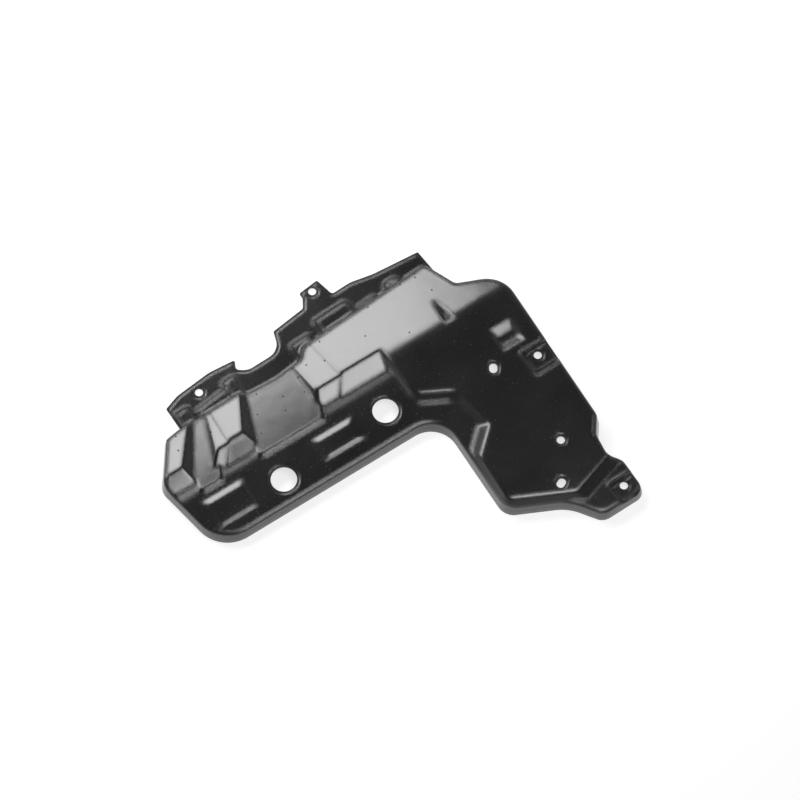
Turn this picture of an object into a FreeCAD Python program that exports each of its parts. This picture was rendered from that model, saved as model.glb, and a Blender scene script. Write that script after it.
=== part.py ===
import FreeCAD, Part
import math
import os

os.makedirs("parts", exist_ok=True)
V = FreeCAD.Vector

# Sheet and heights above the table
sheet = 2.5
floor_height = 18.0
panel_height = 26.0
strip_drop = 1.2
letter_rise = 2.0
lip_slope = 82.0
edge_radius = 3.0
crisp_from = 95.0
steep = 62.0

# Bend of the upper surface towards the back edge
bend_start = 38.0
bend_radius = 110.0
bend_angle = 10.0

# Bend of the lower floor towards the back edge
floor_bend_start = 20.0
floor_bend_radius = 60.0
floor_bend_angle = 5.5

# Holes
drain_hole_radius = 15.8
fixing_hole_radius = 5.0
slot_half_length = 1.4
drain_holes = [(-175, -16), (-26, -8)]
fixing_holes = [(-197.5, 139), (-12.5, 176), (166, -48), (127, -156), (161, -241)]
slot_holes = [(110.5, -35, 60), (97, -202, 25)]

# Plan outline of the body at the table, x, y and corner radius
body_outline = [
    (-266, 106, 6), (-303, 55, 20), (-284, -49, 45), (25, -49, 35), (23, -193, 22),
    (92, -226, 60), (118, -263, 18), (180, -262, 14), (179, -213, 14), (167, -200, 14),
    (170, -174, 12), (185, -153, 12), (190, 63, 40), (137, 87, 10),
    (120, 130, 6), (-64, 119, 14), (-76, 106, 14), (-110, 102, 40), (-148, 104, 14),
    (-160, 110, 8), (-247, 109, 6),
]

# Plan outline of the back flange
flange_outline = [
    (-242, 142, 2), (-222, 149, 20), (-174, 154, 60), (-139, 151, 2), (-145, 140, 5),
    (-133, 131, 20), (-88, 132, 20), (-80, 157, 2), (-34, 163, 4), (-27, 175, 3),
    (-27, 182, 2), (0, 185, 2), (6, 160, 4), (32, 161, 40), (62, 155, 60),
    (123, 150, 2), (126, 118, 2), (60, 90, 5), (-60, 90, 5), (-240, 95, 2),
]

# Raised parts at mid height: x, y, corner radius, slope of the side that starts there
mid_height = 20.0
side = 80.0
right_panel = [
    (8, 160, 3, 50), (8, -16, 22, 35), (52, -40, 28, 35), (60, -86, 20, 30), (31, -112, 16, 50),
    (28, -189, 16, 45), (112, -230, 10, 30), (240, -190, 3, side), (240, 160, 3, side),
]
ridge_two_strip = [(-74, 160, 3, 40), (-87, 49, 12, 18), (80, 49, 12, 30), (80, 160, 3, side)]
ridge_two = [(-33, 160, 3, 30), (-55, 47, 8, 16), (60, 47, 8, 30), (100, 160, 3, side)]
ridge_one_strip = [(-190, 125, 3, 40), (-234, 47, 8, 16), (-180, 47, 8, 26), (-166, 125, 3, side)]
ridge_one = [(-188, 125, 3, 35), (-215, 46, 5, 14), (-180, 46, 6, 26), (-166, 125, 3, side)]
left_rim = [(-310, 125, 3, side), (-320, 48, 6, 16), (-267, 48, 8, 27), (-235, 125, 3, side)]

# Low pads on the floor behind the front edge
letter_pad = [(-150, 125, 3, 40), (-188, 21, 12, 32), (-92, 21, 12, 32), (-66, 125, 3, 40)]
valley_pad = [(-232, 125, 3, 40), (-270, 21, 10, 32), (-236, 21, 10, 40), (-198, 125, 3, 40)]

# Steps pressed into the floor: x, y, corner radius, slope
step_rise = 1.5
step_root = 0.5
floor_steps = [
    [(-122, 8, 0, 12), (-122, -24, 0, 18), (-64, -24, 0, 12), (-64, 8, 0, 12)],
    [(-273, 12, 0, 12), (-273, -28, 0, 18), (-218, -28, 0, 30), (-218, 12, 0, 12)],
]

# Pads on the back flange: height and plan outline
flange_pads = [
    (9.0, [(-35, 105, 3, side), (18, 105, 3, 55), (18, 145, 8, 55), (-35, 143, 5, 55)]),
    (8.0, [(-75, 105, 3, side), (-44, 105, 3, 50), (-44, 132, 4, 55), (-75, 131, 4, 55)]),
    (6.0, [(20, 105, 3, side), (50, 105, 3, 50), (50, 132, 4, 50), (20, 130, 4, 50)]),
    (8.0, [(62, 110, 3, side), (86, 110, 3, 60), (86, 138, 7, 60), (62, 138, 7, 60)]),
    (9.0, [(-240, 98, 3, side), (-217, 98, 3, 55), (-217, 132, 5, 55), (-240, 131, 5, 55)]),
    (6.0, [(-214, 98, 3, side), (-168, 98, 3, 45), (-168, 127, 3, 45), (-214, 122, 3, 45)]),
    (7.0, [(-172, 98, 3, side), (-152, 98, 3, 60), (-150, 137, 4, 45), (-170, 135, 5, 45)]),
]

# Hollows: floor height and plan outline of the hollow's floor
hollows = [
    (20.0, [(152, -64, 3, 45), (240, -64, 3, side), (240, -38, 3, side), (152, -38, 3, 60)]),
    (12.0, [(147, -256, 3, 45), (240, -256, 3, side), (240, -233, 3, side), (147, -233, 3, 60)]),
    (22.5, [(136, -14, 2, 18), (160, -14, 2, 40), (160, -4, 2, 14), (136, -4, 2, 40)]),
    (20.0, [(97, 56, 1, 30), (101, 56, 1, 40), (101, 84, 1, 30), (97, 84, 1, 65)]),
]


def cut_point(a, b, c, d):
    # Crossing of the line through a and b with the line through c and d
    u = (b[0] - a[0], b[1] - a[1])
    w = (d[0] - c[0], d[1] - c[1])
    k = ((c[0] - a[0]) * w[1] - (c[1] - a[1]) * w[0]) / (u[0] * w[1] - u[1] * w[0])
    return (a[0] + k * u[0], a[1] + k * u[1])


def inset(corners, amounts):
    # Moves each side of a counter-clockwise outline inwards by its own amount
    lines = []
    for i in range(len(corners)):
        a = corners[i]
        b = corners[(i + 1) % len(corners)]
        size = math.hypot(b[0] - a[0], b[1] - a[1])
        n = (-(b[1] - a[1]) / size, (b[0] - a[0]) / size)
        p = (a[0] + n[0] * amounts[i], a[1] + n[1] * amounts[i])
        q = (b[0] + n[0] * amounts[i], b[1] + n[1] * amounts[i])
        lines.append((p, q))
    moved = []
    for i in range(len(corners)):
        before = lines[i - 1]
        after = lines[i]
        x, y = cut_point(before[0], before[1], after[0], after[1])
        a = corners[i - 1]
        b = corners[i]
        c = corners[(i + 1) % len(corners)]
        turn = (b[0] - a[0]) * (c[1] - b[1]) - (b[1] - a[1]) * (c[0] - b[0])
        change = min(amounts[i - 1], amounts[i], key=abs)
        radius = corners[i][2] - change if turn > 0 else corners[i][2] + change
        moved.append((x, y, max(radius, 1.0)))
    return moved


def rounded_wire(corners, z):
    # Closed outline with straight sides and rounded corners
    starts = []
    ends = []
    middles = []
    for i in range(len(corners)):
        p = V(corners[i][0], corners[i][1], z)
        a = V(corners[i - 1][0], corners[i - 1][1], z)
        c = V(corners[(i + 1) % len(corners)][0], corners[(i + 1) % len(corners)][1], z)
        u = (a - p).normalize()
        w = (c - p).normalize()
        half = 0.5 * u.getAngle(w)
        radius = corners[i][2]
        run = radius / math.tan(half)
        middle = (u + w).normalize()
        centre = p + middle * (radius / math.sin(half))
        starts.append(p + u * run)
        ends.append(p + w * run)
        middles.append(centre - middle * radius)
    edges = []
    for i in range(len(corners)):
        edges.append(Part.Arc(starts[i], middles[i], ends[i]).toShape())
        edges.append(Part.LineSegment(ends[i], starts[(i + 1) % len(corners)]).toShape())
    return Part.Wire(edges)


def sloped_block(corners, skins, low, high, bottom, top):
    # Block with flat sloping sides between two heights, its upright corners rounded
    rounding = [c[2] for c in inset(corners, skins)]
    foot = [V(c[0], c[1], bottom) for c in inset(corners, low)]
    head = [V(c[0], c[1], top) for c in inset(corners, high)]
    count = len(corners)
    base = foot[::-1]
    faces = [Part.Face(Part.makePolygon(base + base[:1])), Part.Face(Part.makePolygon(head + head[:1]))]
    for i in range(count):
        j = (i + 1) % count
        faces.append(Part.Face(Part.makePolygon([foot[i], foot[j], head[j], head[i], foot[i]])))
    solid = Part.makeSolid(Part.makeShell(faces))
    for i in range(count):
        if corners[i][2] > 0:
            spot = Part.Vertex((foot[i] + head[i]) * 0.5)
            edge = min(solid.Edges, key=lambda e: e.distToShape(spot)[0])
            solid = solid.makeFillet(rounding[i], [edge])
    return solid


def raised(outline, reference, bottom, top, depth):
    # Raised part whose outline holds at the reference height, with its own slope on each side
    slopes = [math.radians(c[3]) for c in outline]
    skins = [depth * math.tan(slope / 2) for slope in slopes]
    low = [skin + (bottom - reference) / math.tan(slope) for skin, slope in zip(skins, slopes)]
    high = [skin + (top - reference) / math.tan(slope) for skin, slope in zip(skins, slopes)]
    return sloped_block(outline, skins, low, high, bottom - depth, top - depth)


def hollow(outline, floor, depth):
    # Hollow that opens upwards with its own slope on each side
    top = panel_height + sheet
    slopes = [math.radians(c[3]) for c in outline]
    skins = [-depth * math.tan(slope / 2) for slope in slopes]
    high = [skin - (top - floor) / math.tan(slope) for skin, slope in zip(skins, slopes)]
    return sloped_block(outline, skins, skins, high, floor - depth, top - depth)


def crown(height, start, radius, angle, depth):
    # Everything under a surface that is flat at the front and bends down to the back
    a = math.radians(angle)
    z = height - depth
    reach = 400.0
    p0 = V(-reach, -reach, z)
    p1 = V(-reach, start, z)
    p2 = V(-reach, start + radius * math.sin(a / 2), z - radius * (1 - math.cos(a / 2)))
    p3 = V(-reach, start + radius * math.sin(a), z - radius * (1 - math.cos(a)))
    p4 = V(-reach, reach, p3.z - (reach - p3.y) * math.tan(a))
    p5 = V(-reach, reach, -2 * reach)
    p6 = V(-reach, -reach, -2 * reach)
    edges = [Part.LineSegment(p0, p1).toShape(), Part.Arc(p1, p2, p3).toShape()]
    edges.append(Part.LineSegment(p3, p4).toShape())
    edges.append(Part.LineSegment(p4, p5).toShape())
    edges.append(Part.LineSegment(p5, p6).toShape())
    edges.append(Part.LineSegment(p6, p0).toShape())
    return Part.Face(Part.Wire(edges)).extrude(V(2 * reach, 0, 0))


def rounded(piece, radius, least, most):
    # Rounds the top edges that bend by an angle in the range, short of the crisp back edge
    picked = []
    for edge in piece.Edges:
        faces = piece.ancestorsOfType(edge, Part.Face)
        middle = edge.valueAt(0.5 * (edge.FirstParameter + edge.LastParameter))
        if len(faces) == 2 and middle.y < crisp_from:
            normals = []
            for face in faces:
                u, v = face.Surface.parameter(middle)
                normals.append(face.normalAt(u, v))
            upward = [n.z for n in normals]
            bend = math.degrees(normals[0].getAngle(normals[1]))
            if max(upward) > 0.9 and min(upward) > -0.1 and least < bend < most:
                picked.append(edge)
    return piece.makeFillet(radius, picked)


def form(depth):
    # The form the sheet is drawn over, its skin taken inwards by the depth
    bend = (bend_start, bend_radius, bend_angle, depth)
    floor_bend = (floor_bend_start, floor_bend_radius, floor_bend_angle, depth)
    radius = edge_radius - depth
    block = raised([c + (lip_slope,) for c in body_outline], 0.0, 0.0, panel_height + 3 * sheet, depth)
    floor = rounded(block.common(crown(floor_height, *floor_bend)), radius, steep, 90.0)
    pad_block = block.common(crown(floor_height + letter_rise, *floor_bend))
    strip_block = block.common(crown(panel_height - strip_drop, *bend))
    top_block = block.common(crown(panel_height, *bend))
    top = panel_height + sheet
    ridge_top = panel_height - 1.5
    pad_top = floor_height + letter_rise + 1.0
    low = 8.0
    panel = rounded(top_block, radius, steep, 90.0).common(raised(right_panel, mid_height, low, top, depth))
    ridges = []
    for outline in (ridge_two, ridge_one, left_rim):
        ridges.append(top_block.common(raised(outline, mid_height, low, ridge_top, depth)))
    for outline in (ridge_two_strip, ridge_one_strip):
        ridges.append(strip_block.common(raised(outline, mid_height, low, ridge_top, depth)))
    for outline in (letter_pad, valley_pad):
        ridges.append(pad_block.common(raised(outline, floor_height, 0.0, pad_top, depth)))
    parts = [rounded(panel, radius, 4.0, steep)]
    for ridge in ridges:
        parts.append(rounded(ridge, radius, 4.0, 90.0))
    for outline in floor_steps:
        parts.append(raised(outline, floor_height, floor_height - step_root, floor_height + step_rise, depth))
    for height, outline in flange_pads:
        parts.append(raised(outline, sheet, 0.0, height, depth))
    gaps = []
    for height, outline in hollows:
        gaps.append(hollow(outline, height, depth))
    return floor.fuse(parts).cut(gaps)


outer = form(0.0)
inner = form(sheet)
flange = Part.Face(rounded_wire(flange_outline[::-1], 0.0)).extrude(V(0, 0, sheet))
shield = outer.fuse(flange).cut(inner)

# Holes through the sheet
through = 2 * panel_height
drills = []
for x, y in drain_holes:
    drills.append(Part.makeCylinder(drain_hole_radius, through, V(x, y, -sheet)))
for x, y in fixing_holes:
    drills.append(Part.makeCylinder(fixing_hole_radius, through, V(x, y, -sheet)))
for x, y, turn in slot_holes:
    reach = V(math.cos(math.radians(turn)), math.sin(math.radians(turn)), 0) * slot_half_length
    for way in (-1, 1):
        spot = V(x, y, -sheet) + reach * way
        drills.append(Part.makeCylinder(fixing_hole_radius, through, spot))
shield = shield.cut(drills).removeSplitter().Solids[0]

# Origin at the middle of the base
box = shield.optimalBoundingBox(False)
shield.translate(V(-box.Center.x, -box.Center.y, -box.ZMin))
print("middle of the base", box.Center.x, box.Center.y, box.ZMin, shield.isValid())
shield.exportStep("parts/shield.step")
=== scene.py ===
import math

import bmesh
import bpy
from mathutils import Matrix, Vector
from mathutils.bvhtree import BVHTree


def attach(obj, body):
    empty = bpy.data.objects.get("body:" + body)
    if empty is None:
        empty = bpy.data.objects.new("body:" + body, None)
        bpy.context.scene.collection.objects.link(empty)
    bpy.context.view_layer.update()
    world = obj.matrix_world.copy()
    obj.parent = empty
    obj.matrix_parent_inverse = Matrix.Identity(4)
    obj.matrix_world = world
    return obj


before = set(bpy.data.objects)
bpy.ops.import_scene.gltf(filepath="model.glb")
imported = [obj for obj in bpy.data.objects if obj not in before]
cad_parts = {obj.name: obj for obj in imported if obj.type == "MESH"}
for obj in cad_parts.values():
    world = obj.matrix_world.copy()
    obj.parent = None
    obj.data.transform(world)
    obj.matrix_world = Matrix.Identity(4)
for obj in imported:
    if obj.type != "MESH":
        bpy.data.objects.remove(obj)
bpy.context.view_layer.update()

# Where the camera looks and stands, in metres, and its lens
view_target = Vector((0.0562, 0.0390, 0.0))
view_azimuth = math.radians(-33.0)
view_elevation = math.radians(68.0)
view_distance = 6.0
view_reach = 100.0
view_back = Vector((
    math.sin(view_azimuth) * math.cos(view_elevation),
    -math.cos(view_azimuth) * math.cos(view_elevation),
    math.sin(view_elevation),
))
field_width = 0.960
sensor_width = 36.0

# Floor: half its width, its gap under the shield so that the faces stay apart, and its tones
floor_reach = 30.0
floor_gap = 0.0002
floor_tone = (0.45, 0.45, 0.45, 1.0)
floor_glow = 0.70

# Sky: its tone and height at the low end and at the high end of the blend
sky_low = 0.05
sky_low_tone = (0.70, 0.70, 0.70, 1.0)
sky_high = 0.75
sky_high_tone = (0.04, 0.04, 0.04, 1.0)

# Lamps: where they point, then place, width, height and radiance of each
light_target = Vector((0.0, 0.10, 0.0))
back_lamp = ((-0.13, 0.93, 1.00), 1.28, 0.47, 7.0)
front_lamp = ((0.20, -0.28, 1.24), 0.70, 0.36, 7.0)

# Plastic: tints, scale and detail of each noise, and strength and distance of each bump
dark_tint = (0.0085, 0.0085, 0.0090, 1.0)
light_tint = (0.0140, 0.0140, 0.0147, 1.0)
tint_range = (0.30, 0.75)
dust_tint = (0.070, 0.070, 0.068, 1.0)
dust_range = (0.66, 0.76)
cloud_noise = (14.0, 5.0)
dust_noise = (420.0, 3.0)
grain_noise = (900.0, 2.0)
wave_noise = (30.0, 1.0)
broad_bump = (0.08, 0.002)
fine_bump = (0.03, 0.0003)
plastic_ior = 1.5

# Least roughness, most roughness and shine of the two plastics
sheet_finish = (0.14, 0.22, 1.0)
pip_finish = (0.60, 0.70, 0.2)

# Radius that the folds of the formed sheet are shaded with, and the rays used for it
fold_radius = 0.0080
fold_samples = 8

# Size of a moulding pip, and the height that its place is searched from
pip_radius = 0.0016
pip_tip_radius = pip_radius * 0.35
pip_height = 0.0008
pip_sides = 12
drop_height = 0.2

# Places of the pips in mm from the view target, as the camera sees them on the floor
pip_places = [
    (-153, 77), (-162, 54), (-122, 63), (-90, 71), (-86, 92), (-140, 100), (-250, 106),
    (-257, 89), (-212, 88), (-187, 110), (-48, 92), (10, 92), (-70, 99), (57, 67),
    (110, 99), (102, 124), (82, 126), (33, 122), (-40, 116), (-115, 80), (137, 27),
    (-204, 20), (-290, 45),
]
mm_in_metre = 1000

black = (0.0, 0.0, 0.0, 1.0)
white = (1.0, 1.0, 1.0, 1.0)


def link(object_made):
    """Puts an object into the scene."""
    bpy.context.scene.collection.objects.link(object_made)
    return object_made


def node_set(owner):
    """Empty node tree of a material or a world."""
    owner.use_nodes = True
    nodes = owner.node_tree.nodes
    nodes.clear()
    return nodes, owner.node_tree.links


def noise(nodes, scale, detail):
    """Noise texture."""
    made = nodes.new("ShaderNodeTexNoise")
    made.inputs["Scale"].default_value = scale
    made.inputs["Detail"].default_value = detail
    return made


def bump(nodes, strength, distance):
    """Bump of a given strength and distance."""
    made = nodes.new("ShaderNodeBump")
    made.inputs["Strength"].default_value = strength
    made.inputs["Distance"].default_value = distance
    return made


def blend(nodes, start, first, end, last):
    """Colour ramp between two colours."""
    made = nodes.new("ShaderNodeValToRGB")
    made.color_ramp.elements[0].position = start
    made.color_ramp.elements[0].color = first
    made.color_ramp.elements[1].position = end
    made.color_ramp.elements[1].color = last
    return made


def black_plastic(name, smoothest, roughest, shine):
    """Black moulded plastic with a soft sheen, uneven gloss and a fine grain."""
    material = bpy.data.materials.new(name)
    nodes, links = node_set(material)
    place = nodes.new("ShaderNodeTexCoord")
    cloud = noise(nodes, *cloud_noise)
    dust = noise(nodes, *dust_noise)
    grain = noise(nodes, *grain_noise)
    wave = noise(nodes, *wave_noise)
    tint = blend(nodes, tint_range[0], dark_tint, tint_range[1], light_tint)
    specks = blend(nodes, dust_range[0], black, dust_range[1], white)
    dusted = nodes.new("ShaderNodeMix")
    dusted.data_type = "RGBA"
    dusted.inputs["B"].default_value = dust_tint
    gloss = nodes.new("ShaderNodeMapRange")
    gloss.inputs["To Min"].default_value = smoothest
    gloss.inputs["To Max"].default_value = roughest
    rounding = nodes.new("ShaderNodeBevel")
    rounding.samples = fold_samples
    rounding.inputs["Radius"].default_value = fold_radius
    fine = bump(nodes, *fine_bump)
    broad = bump(nodes, *broad_bump)
    shader = nodes.new("ShaderNodeBsdfPrincipled")
    shader.inputs["IOR"].default_value = plastic_ior
    shader.inputs["Specular IOR Level"].default_value = shine
    out = nodes.new("ShaderNodeOutputMaterial")
    for texture in (cloud, dust, grain, wave):
        links.new(place.outputs["Object"], texture.inputs["Vector"])
    links.new(cloud.outputs["Fac"], tint.inputs["Fac"])
    links.new(cloud.outputs["Fac"], gloss.inputs["Value"])
    links.new(wave.outputs["Fac"], broad.inputs["Height"])
    links.new(grain.outputs["Fac"], fine.inputs["Height"])
    links.new(rounding.outputs["Normal"], broad.inputs["Normal"])
    links.new(broad.outputs["Normal"], fine.inputs["Normal"])
    links.new(dust.outputs["Fac"], specks.inputs["Fac"])
    links.new(specks.outputs["Color"], dusted.inputs["Factor"])
    links.new(tint.outputs["Color"], dusted.inputs["A"])
    links.new(dusted.outputs["Result"], shader.inputs["Base Color"])
    links.new(gloss.outputs["Result"], shader.inputs["Roughness"])
    links.new(fine.outputs["Normal"], shader.inputs["Normal"])
    links.new(shader.outputs["BSDF"], out.inputs["Surface"])
    return material


def moulding_pips(shield, plastic):
    """The small round marks that the forming tool leaves on the upper face."""
    tree = BVHTree.FromPolygons(
        [v.co for v in shield.data.vertices], [p.vertices for p in shield.data.polygons]
    )
    shape = bmesh.new()
    down = Vector((0.0, 0.0, -1.0))
    for x, y in pip_places:
        above = Vector((x / mm_in_metre + view_target.x, y / mm_in_metre + view_target.y, drop_height))
        height = tree.ray_cast(above, down)[0].z
        lean = view_back * (height / view_back.z)
        spot, normal = tree.ray_cast(above + Vector((lean.x, lean.y, 0.0)), down)[:2]
        turn = normal.to_track_quat("Z", "Y").to_matrix().to_4x4()
        turn.translation = spot
        bmesh.ops.create_cone(
            shape, cap_ends=True, segments=pip_sides, radius1=pip_radius,
            radius2=pip_tip_radius, depth=2 * pip_height, matrix=turn,
        )
    mesh = bpy.data.meshes.new("moulding_pips")
    shape.to_mesh(mesh)
    shape.free()
    pips = link(bpy.data.objects.new("moulding_pips", mesh))
    pips.data.materials.append(plastic)
    return pips


def floor_white():
    """White that glows a little where it is looked at, and keeps shadows."""
    material = bpy.data.materials.new("floor_white")
    nodes, links = node_set(material)
    path = nodes.new("ShaderNodeLightPath")
    seen = nodes.new("ShaderNodeMath")
    seen.operation = "MAXIMUM"
    seen_through = nodes.new("ShaderNodeMath")
    seen_through.operation = "MAXIMUM"
    paint = nodes.new("ShaderNodeBsdfDiffuse")
    paint.inputs["Color"].default_value = floor_tone
    glow = nodes.new("ShaderNodeEmission")
    glow.inputs["Color"].default_value = white
    level = nodes.new("ShaderNodeMath")
    level.operation = "MULTIPLY"
    level.inputs[1].default_value = floor_glow
    both = nodes.new("ShaderNodeAddShader")
    out = nodes.new("ShaderNodeOutputMaterial")
    links.new(path.outputs["Is Camera Ray"], seen.inputs[0])
    links.new(path.outputs["Is Glossy Ray"], seen.inputs[1])
    links.new(seen.outputs["Value"], seen_through.inputs[0])
    links.new(path.outputs["Is Transmission Ray"], seen_through.inputs[1])
    links.new(seen_through.outputs["Value"], level.inputs[0])
    links.new(level.outputs["Value"], glow.inputs["Strength"])
    links.new(paint.outputs["BSDF"], both.inputs[0])
    links.new(glow.outputs["Emission"], both.inputs[1])
    links.new(both.outputs["Shader"], out.inputs["Surface"])
    return material


def pale_floor():
    """A wide white floor under the shield."""
    shape = bmesh.new()
    bmesh.ops.create_grid(shape, x_segments=1, y_segments=1, size=floor_reach)
    bmesh.ops.translate(shape, verts=shape.verts, vec=(0.0, 0.0, -floor_gap))
    mesh = bpy.data.meshes.new("floor")
    shape.to_mesh(mesh)
    shape.free()
    floor = link(bpy.data.objects.new("floor", mesh))
    floor.data.materials.append(floor_white())


def soft_light(name, place, width, height, radiance):
    """A soft rectangular lamp at a place, turned towards the light target."""
    lamp = bpy.data.lights.new(name, "AREA")
    lamp.shape = "RECTANGLE"
    lamp.size = width
    lamp.size_y = height
    lamp.energy = radiance * math.pi * width * height
    made = link(bpy.data.objects.new(name, lamp))
    made.location = place
    made.rotation_mode = "QUATERNION"
    made.rotation_quaternion = (Vector(place) - light_target).to_track_quat("Z", "Y")
    made.visible_camera = False


def sky():
    """A world that is pale at the horizon and dark overhead."""
    world = bpy.data.worlds.new("studio")
    nodes, links = node_set(world)
    place = nodes.new("ShaderNodeTexCoord")
    split = nodes.new("ShaderNodeSeparateXYZ")
    rise = blend(nodes, sky_low, sky_low_tone, sky_high, sky_high_tone)
    back = nodes.new("ShaderNodeBackground")
    out = nodes.new("ShaderNodeOutputWorld")
    links.new(place.outputs["Generated"], split.inputs["Vector"])
    links.new(split.outputs["Z"], rise.inputs["Fac"])
    links.new(rise.outputs["Color"], back.inputs["Color"])
    links.new(back.outputs["Background"], out.inputs["Surface"])
    bpy.context.scene.world = world


def photo_camera():
    """A long lens at the photo's angle."""
    camera = bpy.data.cameras.new("camera")
    camera.sensor_width = sensor_width
    camera.lens = sensor_width * view_distance / field_width
    camera.clip_end = view_reach
    made = link(bpy.data.objects.new("camera", camera))
    made.location = view_target + view_back * view_distance
    made.rotation_mode = "QUATERNION"
    made.rotation_quaternion = view_back.to_track_quat("Z", "Y")
    bpy.context.scene.camera = made


sheet_plastic = black_plastic("sheet_plastic", *sheet_finish)
pip_plastic = black_plastic("pip_plastic", *pip_finish)
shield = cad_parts["shield"]
shield.data.materials.clear()
shield.data.materials.append(sheet_plastic)
pips = moulding_pips(shield, pip_plastic)
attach(pips, "root")
pale_floor()
sky()
soft_light("back_softbox", *back_lamp)
soft_light("front_softbox", *front_lamp)
photo_camera()
bpy.context.scene.view_settings.view_transform = "Standard"
